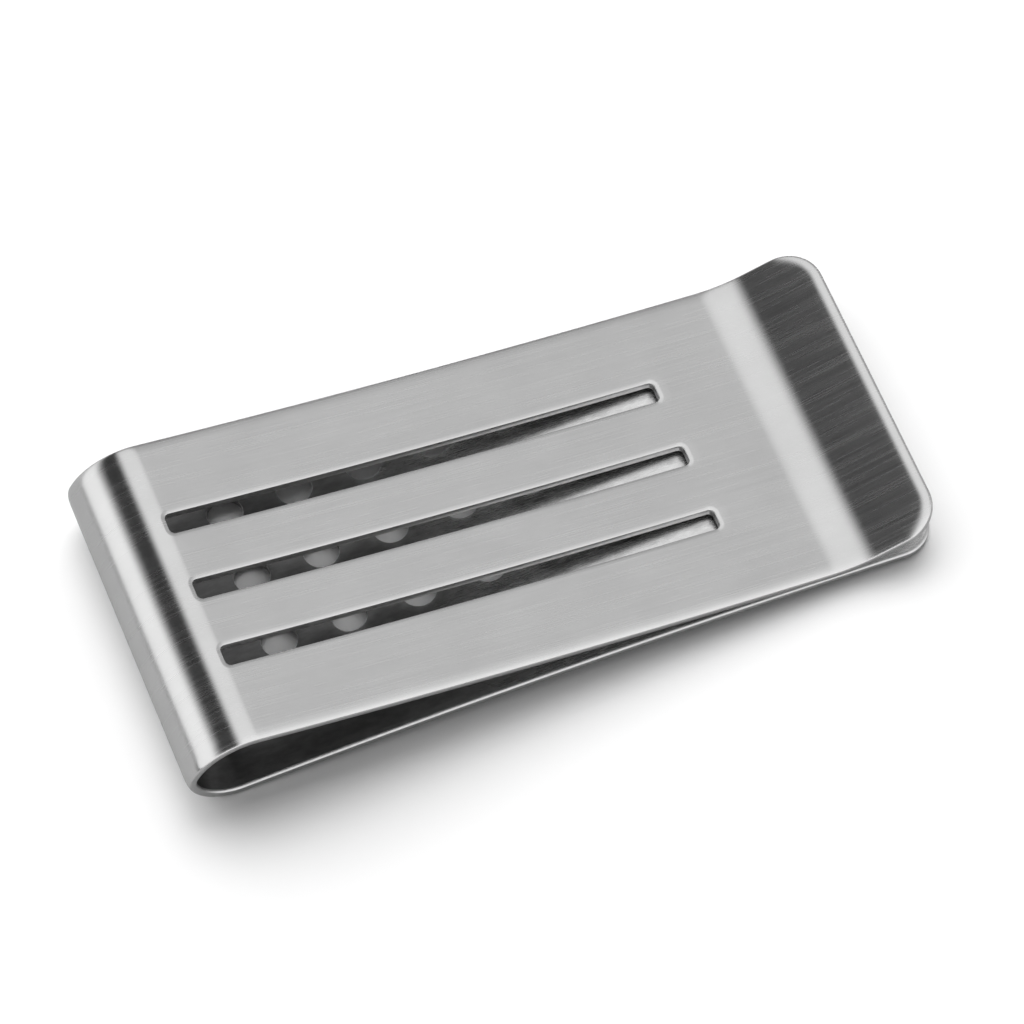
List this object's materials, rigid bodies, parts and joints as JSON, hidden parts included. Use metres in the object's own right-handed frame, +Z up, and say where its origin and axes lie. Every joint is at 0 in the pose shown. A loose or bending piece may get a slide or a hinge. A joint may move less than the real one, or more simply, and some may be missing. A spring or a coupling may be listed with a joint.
{
  "type": "money clip",
  "caption": "Folded spring-steel strip with a slotted front leaf, a perforated back leaf, a teardrop bend and a flared lip; grips folded notes.",
  "frame": {"origin": "on the plane the clip rests on, below the middle of its length and width", "axes": "+X along the clip from the bend to the lip, +Y across the strip, +Z up from the back leaf to the front leaf"},
  "size_m": [0.0564, 0.025, 0.007],
  "materials": {
    "spring_steel": "satin, brushed along the strip, with tumbled rims"
  },
  "bodies": {
    "back": {"back_leaf": "spring_steel", "lower_bend": "spring_steel"},
    "front": {"upper_bend": "spring_steel", "front_leaf": "spring_steel", "lip": "spring_steel"}
  },
  "joints": [
    {"name": "clip_opens", "type": "hinge", "parent": "back", "child": "front", "pos_m": [-0.02825, 0, 0.00338], "axis": [0, -1, 0], "range_deg": [0, 8], "stiffness_Nm_per_rad": 3, "springref_deg": -2.86}
  ]
}
